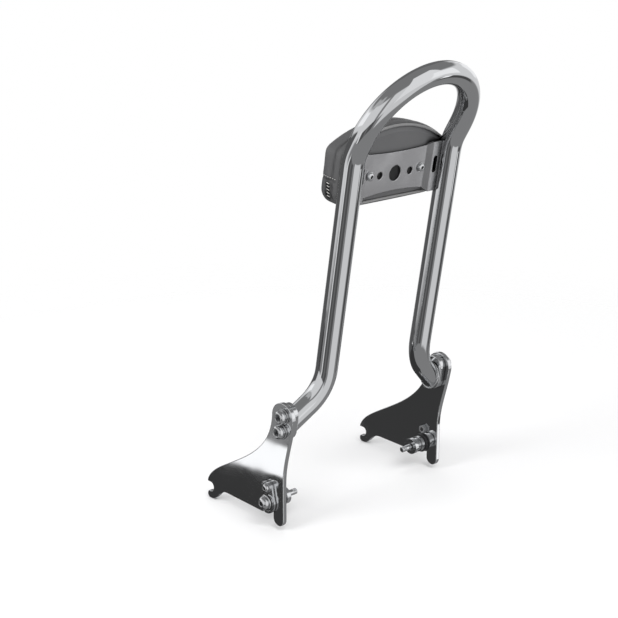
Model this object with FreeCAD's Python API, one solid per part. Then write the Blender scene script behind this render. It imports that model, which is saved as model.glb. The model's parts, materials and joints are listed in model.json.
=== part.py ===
import FreeCAD, Part
import math
import os

from FreeCAD import Placement, Rotation, Vector

os.makedirs("parts", exist_ok=True)

# A detachable sissy bar for a touring motorcycle: a bent tube hoop on two side plates,
# with a backrest pad in front of it.
# X points to the bike's right, Y forward and Z up, in millimetres.
# The origin lies midway between the two docking bolts, on their common axis.

# Hoop tube
tube_diameter = 28.0
tube_wall = 2.5
upright_spacing = 172.0  # between the centrelines of the two uprights
upright_lean = 9.2  # degrees back from vertical
upright_run = 303.0  # from the corner of the lower bend to the corner of the kink
arch_lean = 31.0  # degrees back from vertical, above the kink
arch_leg = 25.0  # straight run from the kink's corner to the start of the arch
lower_bend_radius = 63.0
kink_radius = 56.0
leg_drop = 14.0  # the leg's foot, on the plate's inner face, below the ear's centre
leg_advance = 7.0  # and in front of it
leg_rise = 47.4  # height of the lower bend's corner above the leg's foot
leg_setback = 20.5  # how far that corner lies behind the leg's foot

# Side plates
plate_gap = 283.0  # between the inner faces of the two plates
plate_thickness = 6.0
plate_edge_round = 0.8
tab_radius = 19.0
tab_setback = 27.0  # the round top's centre, behind the docking axis
tab_height = 120.5  # and above it
waist_setback = 28.0  # the straight rear edge, behind the docking axis
waist_top = 30.0  # where the rear edge starts to curve back to the tab
tooth_drop = 28.0  # lowest point of the plate behind the notch
edge_drop = 18.0  # lower edge in front of the notch
fin_reach = 122.5  # foremost point of the plate
fin_rise = 30.0  # height of the fin's shoulder
fin_shoulder = 75.0  # and its distance in front of the docking axis
notch_fillet = 3.0

# Front hook of the plates, which slips over a fixed pin
front_notch_radius = 6.3
front_notch_setback = 6.0  # the notch's centre, behind the foremost point
front_notch_drop = 17.0  # and below the docking axis
jaw_height = 10.0

# Ears on the hoop's feet
ear_half_width = 14.5
ear_height = 48.0
ear_thickness = 10.0
ear_round = 1.2
ear_drop = 7.5  # the ear's centre, below the centre of the plate's round top
ear_advance = 3.0  # and in front of it
ear_bolt_spacing = 20.5
ear_bolt_setback = 3.8  # the bolts' middle, behind the ear's centre
ear_bolt_rise = 0.4  # and above it

# Ear bolts
ear_bolt_diameter = 10.0
ear_bolt_head_diameter = 17.0
ear_bolt_head_height = 8.0
ear_bolt_crown = 0.74  # flat end of the head, as a share of its radius
ear_bolt_socket = 8.0
ear_washer_diameter = 20.0
ear_washer_thickness = 2.0
bolt_tip_inset = 1.0  # how far a bolt's tip stays inside the last piece that it goes into
thread_clearance = 0.05
button_crown = 0.45  # flat top of a domed head, as a share of its radius
hole_clearance = 0.25

# Docking bushing, which sits in the notch, and its bolt, washer and spacer
groove_radius = 9.0
groove_clearance = 0.2  # between the groove and the notch
side_clearance = 0.3  # between the plate's faces and the bushing's flanges
inner_flange_radius = 13.0
inner_flange_thickness = 3.2
outer_flange_radius = 11.0
outer_flange_thickness = 3.5
dock_bolt_diameter = 8.0
dock_shoulder_diameter = 10.0
dock_bolt_relief = 1.5  # undercut between shoulder and thread
dock_bolt_chamfer = 1.0
dock_bolt_head_diameter = 17.0
dock_bolt_head_height = 7.0
dock_bolt_socket = 6.0
dock_bolt_stud = 18.0  # length of thread that stands out of the spacer
dock_washer_diameter = 20.0
dock_washer_thickness = 2.0
spacer_radius = 11.0
spacer_length = 20.0

# Latch
pivot_setback = 4.0  # the latch's pivot, behind the docking axis
pivot_height = 22.0  # and above it
hook_thickness = 3.2
hook_width = 3.6
hook_clearance = 0.4  # between the hook and the bushing's flange
hook_end = 278.0  # degrees round the docking axis, from straight ahead
boss_radius = 6.5
boss_rise = 2.8  # how far the boss stands proud of the hook
shoulder_radius = 4.0
pivot_clearance = 0.05
pivot_thread_radius = 3.0
pivot_head_radius = 5.3
pivot_head_height = 3.3
pivot_socket = 4.0
pivot_nut_flats = 10.0
pivot_nut_height = 5.0
thrust_washer_thickness = 0.5
disc_spring_radius = 6.0
disc_spring_thickness = 0.5
disc_spring_height = 1.0

# Pad bracket, measured along the leaning uprights
bracket_thickness = 3.0
bracket_offset = 9.0  # its rear face, in front of the uprights' centre plane
bracket_flat = 52.0  # half width of the flat middle
bracket_joggle = 6.0  # how far the ends step back, and how wide the step is
bracket_centre = 268.6  # height of the row of holes, along the uprights
bracket_end_above = 34.0
bracket_end_below = 30.0
bracket_top_middle = 27.4
bracket_bottom_middle = 21.6
bracket_top_side = 29.5
bracket_bottom_side = 25.2
centre_hole_radius = 9.8
small_hole_radius = 4.6
small_hole_spacing = 53.0
hole_chamfer = 0.6
slot_width = 7.0
slot_length = 22.0
slot_inset = 21.5  # the slot's centre, inside the upright's centreline
slot_rise = 5.0  # and above the row of holes

# Pad bolts
pad_bolt_spacing = 89.6
pad_bolt_rise = 2.0  # above the row of holes
pad_bolt_diameter = 6.0
pad_bolt_head_diameter = 10.5
pad_bolt_head_height = 3.3
pad_bolt_socket = 4.0
pad_washer_diameter = 12.0
pad_washer_thickness = 1.0
tee_flange_radius = 9.0
tee_flange_thickness = 1.4
tee_barrel_radius = 4.0

# Backrest pad
pad_half_width = 89.5
pad_depth = 38.0
pad_bottom = 37.3  # below the row of holes
pad_bottom_rise = 1.7  # how far the bottom rises from the back of the cushion to its front
pad_top = 63.5  # the crown, above the row of holes
pad_crown_fall = 4.3  # how far the crown falls from the back of the cushion to its front
pad_crown_radius = 148.5
pad_top_corner = 14.0
pad_bottom_corner = 23.5
pad_front_crown_radius = 175.0
pad_front_top_corner = 12.5
pad_front_bottom_corner = 18.0
pad_front_round = 11.0
pad_back_round = 3.0
panel_thickness = 3.0
panel_inset = 5.8
panel_crown_radius = 158.0
panel_bevel = 6.2  # how far the panel's back face is drawn in from its edge, to clear the tubes
board_thickness = 8.0
board_inset = 9.0
board_clearance = 0.3

# Heights and faces that several pieces share
plate_inner_x = plate_gap / 2
plate_outer_x = plate_inner_x + plate_thickness
ear_inner_x = plate_inner_x - ear_thickness
notch_radius = groove_radius + groove_clearance
bolt_level = bracket_centre + pad_bolt_rise
tab_centre = Vector(0, -tab_setback, tab_height)
ear_centre = tab_centre + Vector(0, ear_advance, -ear_drop)
leg_foot = ear_centre + Vector(0, leg_advance, -leg_drop)
lean = math.radians(upright_lean)
up_the_uprights = Vector(0, -math.sin(lean), math.cos(lean))
up_the_arch = Vector(0, -math.sin(math.radians(arch_lean)), math.cos(math.radians(arch_lean)))
x_axis = Vector(1, 0, 0)


def leaned(shape):
    """Lean a shape drawn upright at the origin, and set it on the lower bends' corners."""
    turned = Placement(bend_corner(0), Rotation(x_axis, upright_lean))
    result = shape.copy()
    result.Placement = turned.multiply(result.Placement)
    return result


def bend_corner(x):
    """Corner of the lower bend, at the given distance from the middle."""
    return Vector(x, leg_foot.y - leg_setback, leg_foot.z + leg_rise)


def along_x(radius, start, end, y=0.0, z=0.0):
    """Cylinder along X between two values of X."""
    return Part.makeCylinder(radius, end - start, Vector(start, y, z), x_axis)


def ring_x(outer, inner, start, end, y=0.0, z=0.0):
    """Tube along X between two values of X."""
    return along_x(outer, start, end, y, z).cut(along_x(inner, start - 1, end + 1, y, z))


def hex_prism(flats, length, base, direction):
    """Hexagonal prism of the given width across flats, along a direction."""
    radius = flats / math.sqrt(3)
    corners = []
    for step in range(7):
        angle = math.radians(60 * step)
        corners.append(Vector(radius * math.cos(angle), radius * math.sin(angle), 0))
    prism = Part.Face(Part.makePolygon(corners)).extrude(Vector(0, 0, length))
    prism.Placement = Placement(base, Rotation(Vector(0, 0, 1), direction))
    return prism


def button_bolt(head_diameter, head_height, shank_diameter, length, socket, crown=button_crown):
    """Domed bolt with a hexagon socket: its head stands on z = 0 and its shank points down."""
    head_radius = head_diameter / 2
    crown_radius = head_radius * crown
    rim = head_height * 0.25
    outline = Part.Wire([
        Part.makeLine(Vector(0, 0, 0), Vector(head_radius, 0, 0)),
        Part.makeLine(Vector(head_radius, 0, 0), Vector(head_radius, 0, rim)),
        Part.Arc(
            Vector(head_radius, 0, rim),
            Vector(head_radius * (0.62 + 0.44 * crown), 0, head_height * (0.71 + 0.12 * crown)),
            Vector(crown_radius, 0, head_height),
        ).toShape(),
        Part.makeLine(Vector(crown_radius, 0, head_height), Vector(0, 0, head_height)),
        Part.makeLine(Vector(0, 0, head_height), Vector(0, 0, 0)),
    ])
    head = Part.Face(outline).revolve(Vector(0, 0, 0), Vector(0, 0, 1), 360)
    shank = Part.makeCylinder(shank_diameter / 2, length, Vector(0, 0, -length))
    recess = hex_prism(socket, head_height, Vector(0, 0, head_height * 0.35), Vector(0, 0, 1))
    mouth = socket * 0.12
    flare = Part.makeCone(
        socket / 2, socket / 2 + 2 * mouth, 2 * mouth, Vector(0, 0, head_height - mouth)
    )
    return head.fuse(shank).cut(recess).cut(flare).removeSplitter()


def turned_to(shape, base, direction):
    """Carry a shape drawn along +Z to a base point and a direction."""
    result = shape.copy()
    result.Placement = Placement(base, Rotation(Vector(0, 0, 1), direction))
    return result


def mirrored(shape):
    """The left-hand twin of a right-hand piece."""
    return shape.mirror(Vector(0, 0, 0), x_axis)


def export(name, shape):
    """Write one node and print its size."""
    solids = shape.Solids
    result = solids[0] if len(solids) == 1 else Part.makeCompound(solids)
    result.exportStep("parts/" + name + ".step")
    print(name, len(solids), "solids", round(result.Volume / 1000, 2), "cm3", result.isValid())


def export_pair(name, shape):
    """Write a right-hand piece and its left-hand twin."""
    export(name + "_right", shape)
    export(name + "_left", mirrored(shape))


def bend_piece(corner, before, after, bend_radius, section_radius):
    """Tube bend at a corner: the solid arc and the two points where it meets the runs."""
    back = (before - corner).normalize()
    ahead = (after - corner).normalize()
    opening = back.getAngle(ahead)
    reach = bend_radius / math.tan(opening / 2)
    start = corner + back * reach
    end = corner + ahead * reach
    centre = corner + (back + ahead).normalize() * (bend_radius / math.sin(opening / 2))
    axis = (start - centre).cross(end - centre)
    disc = Part.Face(Part.Wire(Part.makeCircle(section_radius, start, back)))
    arc = disc.revolve(centre, axis, 180 - math.degrees(opening))
    return arc, start, end


def run_piece(start, end, section_radius):
    """Straight run of the tube."""
    return Part.makeCylinder(section_radius, start.distanceToPoint(end), start, end - start)


def hoop_solid(section_radius):
    """The whole hoop as a solid bar: two legs, bends, uprights and kinks, and one arch."""
    pieces = []
    half = upright_spacing / 2
    for side in (1, -1):
        corner = bend_corner(side * half)
        kink = corner + up_the_uprights * upright_run
        arch_start = kink + up_the_arch * arch_leg
        foot = Vector(side * plate_inner_x, leg_foot.y, leg_foot.z)
        bend, bend_start, bend_end = bend_piece(corner, foot, kink, lower_bend_radius, section_radius)
        turn, turn_start, turn_end = bend_piece(kink, corner, arch_start, kink_radius, section_radius)
        pieces += [run_piece(foot, bend_start, section_radius), bend]
        pieces += [run_piece(bend_end, turn_start, section_radius), turn]
        pieces += [run_piece(turn_end, arch_start, section_radius)]
    arch_middle = arch_start + Vector(half, 0, 0)
    first = arch_start + Vector(upright_spacing, 0, 0)
    disc = Part.Face(Part.Wire(Part.makeCircle(section_radius, first, up_the_arch)))
    pieces.append(disc.revolve(arch_middle, x_axis.cross(up_the_arch), 180))
    whole = pieces[0].multiFuse(pieces[1:])
    far = 3 * upright_run
    between_ears = Part.makeBox(2 * ear_inner_x, 2 * far, 2 * far, Vector(-ear_inner_x, -far, -far))
    return whole.common(between_ears)


def stadium(half_width, height, thickness):
    """Plate with round ends, upright in Y and Z, its thickness along X, centred on the origin."""
    straight = height / 2 - half_width
    outline = Part.Wire([
        Part.makeLine(Vector(0, -half_width, -straight), Vector(0, -half_width, straight)),
        Part.Arc(
            Vector(0, -half_width, straight), Vector(0, 0, height / 2), Vector(0, half_width, straight)
        ).toShape(),
        Part.makeLine(Vector(0, half_width, straight), Vector(0, half_width, -straight)),
        Part.Arc(
            Vector(0, half_width, -straight), Vector(0, 0, -height / 2), Vector(0, -half_width, -straight)
        ).toShape(),
    ])
    return Part.Face(outline).extrude(Vector(thickness, 0, 0))


def ear_bolt_places():
    """Where the two ear bolts cross the ear, in Y and Z."""
    step = up_the_uprights * (ear_bolt_spacing / 2)
    middle = ear_centre + Vector(0, -ear_bolt_setback, ear_bolt_rise)
    return [middle + step, middle - step]


def ear():
    """Forged ear: a thick stadium, leaned with the uprights, tapped for two bolts."""
    blank = stadium(ear_half_width, ear_height, ear_thickness)
    rim = [edge for edge in blank.Edges if abs(edge.BoundBox.XMax) < 0.001]
    body = blank.makeFillet(ear_round, rim)
    body.Placement = Placement(ear_centre + Vector(ear_inner_x, 0, 0), Rotation(x_axis, upright_lean))
    tapped = ear_bolt_diameter / 2 + thread_clearance
    for place in ear_bolt_places():
        body = body.cut(along_x(tapped, ear_inner_x - 1, plate_inner_x + 1, place.y, place.z))
    return body


def bezier(*points):
    """Bezier edge through control points given as pairs of Y and Z."""
    curve = Part.BezierCurve()
    curve.setPoles([Vector(0, y, z) for y, z in points])
    return curve.toShape()


def line(start, end):
    """Straight edge between two pairs of Y and Z."""
    return Part.makeLine(Vector(0, *start), Vector(0, *end))


def arc(start, middle, end):
    """Arc through three pairs of Y and Z."""
    return Part.Arc(Vector(0, *start), Vector(0, *middle), Vector(0, *end)).toShape()


def plate_outline():
    """Side plate in Y and Z: round top, hollow front edge, pointed fin, hook, notch and tooth."""
    tab_y, tab_z = -tab_setback, tab_height
    tab_front = (tab_y + tab_radius, tab_z)
    tab_rear = (tab_y - tab_radius, tab_z)
    shoulder = (fin_shoulder, fin_rise)
    tip = (fin_reach, -front_notch_drop + front_notch_radius + 1.5)
    hook_y = fin_reach - front_notch_setback
    hook_top = -front_notch_drop + front_notch_radius
    hook_bottom = -front_notch_drop - front_notch_radius
    jaw_bottom = hook_bottom - jaw_height
    jaw_back = hook_y - front_notch_radius - jaw_height
    lip = jaw_height * 0.4
    tooth_centre = -(notch_radius + waist_setback) / 2
    tooth_radius = (waist_setback - notch_radius) / 2
    tooth_start = -tooth_drop + tooth_radius
    return [
        arc(tab_rear, (tab_y, tab_z + tab_radius), tab_front),
        bezier(
            tab_front,
            (tab_front[0] + 3, tab_z - 0.5 * (tab_z - fin_rise)),
            (fin_shoulder - 40, fin_rise + 23),
            shoulder,
        ),
        bezier(
            shoulder,
            (fin_shoulder + 18, fin_rise - 10.4),
            (fin_reach - 5, fin_rise - 23),
            tip,
        ),
        arc(tip, (fin_reach - 0.5, hook_top + 0.5), (fin_reach - 1.5, hook_top)),
        line((fin_reach - 1.5, hook_top), (hook_y, hook_top)),
        arc((hook_y, hook_top), (hook_y - front_notch_radius, -front_notch_drop), (hook_y, hook_bottom)),
        line((hook_y, hook_bottom), (fin_reach - lip, hook_bottom)),
        arc(
            (fin_reach - lip, hook_bottom),
            (fin_reach, (hook_bottom + jaw_bottom) / 2),
            (fin_reach - lip, jaw_bottom),
        ),
        line((fin_reach - lip, jaw_bottom), (hook_y, jaw_bottom)),
        bezier(
            (hook_y, jaw_bottom),
            (jaw_back, jaw_bottom),
            (jaw_back, -edge_drop + 2),
            (jaw_back - jaw_height - 8, -edge_drop + 2),
        ),
        line((jaw_back - jaw_height - 8, -edge_drop + 2), (notch_radius + notch_fillet, -edge_drop)),
        arc(
            (notch_radius + notch_fillet, -edge_drop),
            (
                notch_radius + notch_fillet * (1 - math.sqrt(0.5)),
                -edge_drop + notch_fillet * (1 - math.sqrt(0.5)),
            ),
            (notch_radius, -edge_drop + notch_fillet),
        ),
        line((notch_radius, -edge_drop + notch_fillet), (notch_radius, 0)),
        arc((notch_radius, 0), (0, notch_radius), (-notch_radius, 0)),
        line((-notch_radius, 0), (-notch_radius, tooth_start)),
        arc((-notch_radius, tooth_start), (tooth_centre, -tooth_drop), (-waist_setback, tooth_start)),
        line((-waist_setback, tooth_start), (-waist_setback, waist_top)),
        bezier(
            (-waist_setback, waist_top),
            (-waist_setback, waist_top + 0.35 * (tab_z - waist_top)),
            (tab_rear[0] + 5, tab_z - 0.36 * (tab_z - waist_top)),
            tab_rear,
        ),
    ]


def side_plate():
    """Flat plate cut to the outline, with softened edges, bolt holes and the latch pivot's hole."""
    blank = Part.Face(Part.Wire(plate_outline())).extrude(Vector(plate_thickness, 0, 0))
    blank.translate(Vector(plate_inner_x, 0, 0))
    rims = []
    for edge in blank.Edges:
        flat = edge.BoundBox.XLength < 0.001
        if flat:
            rims.append(edge)
    body = blank.makeFillet(plate_edge_round, rims)
    clearance_radius = ear_bolt_diameter / 2 + hole_clearance
    for place in ear_bolt_places():
        body = body.cut(along_x(clearance_radius, plate_inner_x - 1, plate_outer_x + 1, place.y, place.z))
    pivot_radius = pivot_thread_radius + thread_clearance
    return body.cut(
        along_x(pivot_radius, plate_inner_x - 1, plate_outer_x + 1, -pivot_setback, pivot_height)
    )


def ear_bolts():
    """Two domed bolts that go through the plate into the ear."""
    seat_x = plate_outer_x + ear_washer_thickness
    length = ear_washer_thickness + plate_thickness + ear_thickness - bolt_tip_inset
    bolt = button_bolt(
        ear_bolt_head_diameter,
        ear_bolt_head_height,
        ear_bolt_diameter,
        length,
        ear_bolt_socket,
        ear_bolt_crown,
    )
    placed = [turned_to(bolt, Vector(seat_x, p.y, p.z), x_axis) for p in ear_bolt_places()]
    return Part.makeCompound(placed)


def ear_washers():
    """Polished washers under the ear bolts."""
    inner = ear_bolt_diameter / 2 + hole_clearance
    washers = []
    for place in ear_bolt_places():
        blank = along_x(
            ear_washer_diameter / 2, plate_outer_x, plate_outer_x + ear_washer_thickness, place.y, place.z
        )
        rim = [edge for edge in blank.Edges if edge.BoundBox.XMin > plate_outer_x + 0.1]
        body = blank.makeChamfer(ear_washer_thickness * 0.3, [e for e in rim if e.Length > 1])
        washers.append(body.cut(
            along_x(inner, plate_outer_x - 1, plate_outer_x + ear_washer_thickness + 1, place.y, place.z)
        ))
    return Part.makeCompound(washers)


# Faces of the docking stack, from the inside out
groove_start_x = plate_inner_x - side_clearance
groove_end_x = plate_outer_x + side_clearance
spacer_end_x = groove_start_x - inner_flange_thickness
spacer_start_x = spacer_end_x - spacer_length
bushing_end_x = groove_end_x + outer_flange_thickness
dock_head_x = bushing_end_x + dock_washer_thickness
dock_bore = dock_shoulder_diameter / 2 + hole_clearance


def dock_bushing():
    """Grooved bushing that the plate's notch drops over."""
    inner = along_x(inner_flange_radius, spacer_end_x, groove_start_x)
    outer = along_x(outer_flange_radius, groove_end_x, bushing_end_x)
    groove = along_x(groove_radius, groove_start_x, groove_end_x)
    body = inner.multiFuse([groove, outer]).removeSplitter()
    return body.cut(along_x(dock_bore, spacer_end_x - 1, bushing_end_x + 1))


def dock_spacer():
    """Turned spacer between the bushing and the bike's frame, waisted in the middle."""
    waist = spacer_radius * 0.82
    body = along_x(spacer_radius, spacer_start_x, spacer_end_x)
    cutter = ring_x(
        spacer_radius + 1, waist, spacer_start_x + spacer_length * 0.3, spacer_end_x - spacer_length * 0.3
    )
    return body.cut(cutter).cut(along_x(dock_bore, spacer_start_x - 1, spacer_end_x + 1))


def dock_washer():
    """Cupped washer under the docking bolt's head."""
    blank = along_x(dock_washer_diameter / 2, bushing_end_x, dock_head_x)
    rim = [edge for edge in blank.Edges if edge.BoundBox.XMin > dock_head_x - 0.1 and edge.Length > 1]
    body = blank.makeFillet(dock_washer_thickness * 0.6, rim)
    return body.cut(along_x(dock_bore, bushing_end_x - 1, dock_head_x + 1))


def dock_bolt():
    """Shoulder bolt through washer, bushing and spacer, with a free thread that fastens to the bike."""
    shoulder = dock_head_x - spacer_start_x
    bolt = button_bolt(
        dock_bolt_head_diameter, dock_bolt_head_height, dock_shoulder_diameter, shoulder, dock_bolt_socket
    )
    thread_radius = dock_bolt_diameter / 2
    relief_radius = thread_radius * 0.82
    thread_start = shoulder + dock_bolt_relief
    thread_end = shoulder + dock_bolt_stud - dock_bolt_chamfer
    relief = Part.makeCylinder(relief_radius, dock_bolt_relief, Vector(0, 0, -thread_start))
    thread = Part.makeCylinder(thread_radius, thread_end - thread_start, Vector(0, 0, -thread_end))
    tip = Part.makeCone(
        thread_radius - dock_bolt_chamfer,
        thread_radius,
        dock_bolt_chamfer,
        Vector(0, 0, -thread_end - dock_bolt_chamfer),
    )
    whole = bolt.multiFuse([relief, thread, tip]).removeSplitter()
    return turned_to(whole, Vector(dock_head_x, 0, 0), x_axis)


# Faces of the latch stack, from the plate out
hook_start_x = plate_outer_x + thrust_washer_thickness
hook_end_x = hook_start_x + hook_thickness
boss_end_x = hook_end_x + boss_rise
pivot_head_x = boss_end_x + disc_spring_height


def ring_point(radius, degrees):
    """Point on a circle round the docking axis, as a pair of Y and Z."""
    angle = math.radians(degrees)
    return (radius * math.cos(angle), radius * math.sin(angle))


def latch_hook():
    """Hook that closes under the bushing's flange: boss, neck, round arm and thumb lug."""
    inner = outer_flange_radius + hook_clearance
    outer = inner + hook_width
    middle = (inner + outer) / 2
    arm_start = 106.0
    half_turn = (arm_start + hook_end) / 2
    arm = Part.Wire([
        arc(ring_point(outer, arm_start), ring_point(outer, half_turn), ring_point(outer, hook_end)),
        line(ring_point(outer, hook_end), ring_point(inner, hook_end)),
        arc(ring_point(inner, hook_end), ring_point(inner, half_turn), ring_point(inner, arm_start)),
        line(ring_point(inner, arm_start), ring_point(outer, arm_start)),
    ])
    neck = Part.makePolygon([
        Vector(0, -pivot_setback - boss_radius * 0.96, pivot_height + boss_radius * 0.28),
        Vector(0, *ring_point(outer, 158)),
        Vector(0, *ring_point(middle, 158)),
        Vector(0, *ring_point(middle, arm_start)),
        Vector(0, -pivot_setback + boss_radius * 0.9, pivot_height - boss_radius * 0.4),
        Vector(0, -pivot_setback - boss_radius * 0.96, pivot_height + boss_radius * 0.28),
    ])
    through = Vector(hook_thickness, 0, 0)
    body = Part.Face(arm).extrude(through).fuse(Part.Face(neck).extrude(through))
    body.translate(Vector(hook_start_x, 0, 0))
    boss = along_x(boss_radius, hook_start_x, boss_end_x, -pivot_setback, pivot_height)
    lug_y = -pivot_setback + boss_radius * 0.9
    lug_z = pivot_height + boss_radius * 0.45
    lug = along_x(boss_radius * 0.5, hook_start_x, boss_end_x, lug_y, lug_z)
    tip = along_x(hook_width / 2, hook_start_x, hook_end_x, *ring_point(middle, hook_end))
    bushing_way = along_x(inner, hook_start_x - 1, boss_end_x + 1)
    body = body.multiFuse([boss, lug, tip]).cut(bushing_way).removeSplitter()
    bore = shoulder_radius + pivot_clearance
    return body.cut(along_x(bore, hook_start_x - 1, boss_end_x + 1, -pivot_setback, pivot_height))


def latch_pivot():
    """Shoulder bolt that the hook turns on, with a smaller thread through the plate."""
    shoulder = pivot_head_x - plate_outer_x
    length = shoulder + plate_thickness + pivot_nut_height
    bolt = button_bolt(
        2 * pivot_head_radius, pivot_head_height, 2 * pivot_thread_radius, length, pivot_socket
    )
    collar = Part.makeCylinder(shoulder_radius, shoulder, Vector(0, 0, -shoulder))
    whole = bolt.fuse(collar).removeSplitter()
    return turned_to(whole, Vector(pivot_head_x, -pivot_setback, pivot_height), x_axis)


def latch_nut():
    """Nut on the inside of the plate, on the pivot's thread."""
    base = Vector(plate_inner_x - pivot_nut_height, -pivot_setback, pivot_height)
    blank = hex_prism(pivot_nut_flats, pivot_nut_height, base, x_axis)
    bore = pivot_thread_radius + thread_clearance
    return blank.cut(along_x(bore, base.x - 1, plate_inner_x + 1, base.y, base.z))


def thrust_washer():
    """Thin washer between the plate and the hook."""
    inner = shoulder_radius + pivot_clearance
    return ring_x(boss_radius, inner, plate_outer_x, hook_start_x, -pivot_setback, pivot_height)


def disc_spring():
    """Cone-shaped spring washer that gives the hook its drag."""
    inner = shoulder_radius + pivot_clearance
    rise = disc_spring_height - disc_spring_thickness
    outline = Part.makePolygon([
        Vector(inner, 0, rise),
        Vector(disc_spring_radius, 0, 0),
        Vector(disc_spring_radius, 0, disc_spring_thickness),
        Vector(inner, 0, disc_spring_height),
        Vector(inner, 0, rise),
    ])
    cone = Part.Face(outline).revolve(Vector(0, 0, 0), Vector(0, 0, 1), 360)
    return turned_to(cone, Vector(boss_end_x, -pivot_setback, pivot_height), x_axis)


def bracket_strip():
    """Bent strip seen from above, drawn upright: flat middle, joggles and end tabs."""
    rear = bracket_offset
    stepped = bracket_offset - bracket_joggle
    reach = upright_spacing / 2
    step_end = bracket_flat + bracket_joggle
    rear_line = [(-reach, stepped), (-step_end, stepped), (-bracket_flat, rear)]
    rear_line += [(bracket_flat, rear), (step_end, stepped), (reach, stepped)]
    front_shift = bracket_thickness * math.tan(math.radians(22.5))
    front_line = [(reach, stepped + bracket_thickness)]
    front_line += [(step_end + front_shift, stepped + bracket_thickness)]
    front_line += [(bracket_flat + front_shift, rear + bracket_thickness)]
    front_line += [(-bracket_flat - front_shift, rear + bracket_thickness)]
    front_line += [(-step_end - front_shift, stepped + bracket_thickness)]
    front_line += [(-reach, stepped + bracket_thickness)]
    points = [Vector(x, y, 0) for x, y in rear_line + front_line]
    face = Part.Face(Part.makePolygon(points + [points[0]]))
    height = bracket_end_above + bracket_end_below
    strip = face.extrude(Vector(0, 0, height))
    strip.translate(Vector(0, 0, bracket_centre - bracket_end_below))
    return strip


def bracket_outline():
    """Front view of the bracket: hollow top and bottom edges between taller ends."""
    end = upright_spacing / 2 + 1
    step_end = bracket_flat + bracket_joggle
    top = bracket_centre + bracket_end_above
    bottom = bracket_centre - bracket_end_below
    top_side = bracket_centre + bracket_top_side
    bottom_side = bracket_centre - bracket_bottom_side
    top_middle = Vector(0, 0, bracket_centre + bracket_top_middle)
    bottom_middle = Vector(0, 0, bracket_centre - bracket_bottom_middle)
    edges = [
        Part.Arc(
            Vector(-bracket_flat, 0, top_side), top_middle, Vector(bracket_flat, 0, top_side)
        ).toShape(),
        Part.makeLine(Vector(bracket_flat, 0, top_side), Vector(step_end, 0, top)),
        Part.makeLine(Vector(step_end, 0, top), Vector(end, 0, top)),
        Part.makeLine(Vector(end, 0, top), Vector(end, 0, bottom)),
        Part.makeLine(Vector(end, 0, bottom), Vector(step_end, 0, bottom)),
        Part.makeLine(Vector(step_end, 0, bottom), Vector(bracket_flat, 0, bottom_side)),
        Part.Arc(
            Vector(bracket_flat, 0, bottom_side), bottom_middle, Vector(-bracket_flat, 0, bottom_side)
        ).toShape(),
        Part.makeLine(Vector(-bracket_flat, 0, bottom_side), Vector(-step_end, 0, bottom)),
        Part.makeLine(Vector(-step_end, 0, bottom), Vector(-end, 0, bottom)),
        Part.makeLine(Vector(-end, 0, bottom), Vector(-end, 0, top)),
        Part.makeLine(Vector(-end, 0, top), Vector(-step_end, 0, top)),
        Part.makeLine(Vector(-step_end, 0, top), Vector(-bracket_flat, 0, top_side)),
    ]
    face = Part.Face(Part.Wire(edges))
    slab = face.extrude(Vector(0, 2 * upright_spacing, 0))
    slab.translate(Vector(0, -upright_spacing, 0))
    return slab


def along_y(radius, start, end, x, z):
    """Cylinder along Y, for holes drawn before the lean."""
    return Part.makeCylinder(radius, end - start, Vector(x, start, z), Vector(0, 1, 0))


def slot_y(width, length, x, z, reach):
    """Upright slot with round ends, cut along Y."""
    half = (length - width) / 2
    ends = [along_y(width / 2, -reach, reach, x, z + step) for step in (-half, half)]
    middle = Part.makeBox(width, 2 * reach, 2 * half, Vector(x - width / 2, -reach, z - half))
    return middle.multiFuse(ends)


def chamfered_hole(radius, x, reach):
    """Hole in the bracket's flat middle, its rear edge chamfered."""
    rear = Vector(x, bracket_offset, bracket_centre)
    mouth = Part.makeCone(radius + hole_chamfer, radius, hole_chamfer, rear, Vector(0, 1, 0))
    return along_y(radius, -reach, reach, x, bracket_centre).fuse(mouth)


def pad_bracket(hoop_bar):
    """Stamped and bent plate between the uprights, its ends coped to the tubes."""
    body = bracket_strip().common(bracket_outline())
    reach = upright_spacing / 4
    body = body.cut(chamfered_hole(centre_hole_radius, 0, reach))
    slot_x = upright_spacing / 2 - slot_inset
    for side in (1, -1):
        body = body.cut(chamfered_hole(small_hole_radius, side * small_hole_spacing / 2, reach))
        bolt_radius = pad_bolt_diameter / 2 + hole_clearance
        body = body.cut(along_y(bolt_radius, -reach, reach, side * pad_bolt_spacing / 2, bolt_level))
        slot_level = bracket_centre + slot_rise
        body = body.cut(slot_y(slot_width, slot_length, side * slot_x, slot_level, reach))
    return leaned(body).cut(hoop_bar)


def between(back_value, front_value, share):
    """A value part of the way from the back of the cushion to its front."""
    return back_value + (front_value - back_value) * share


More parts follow.
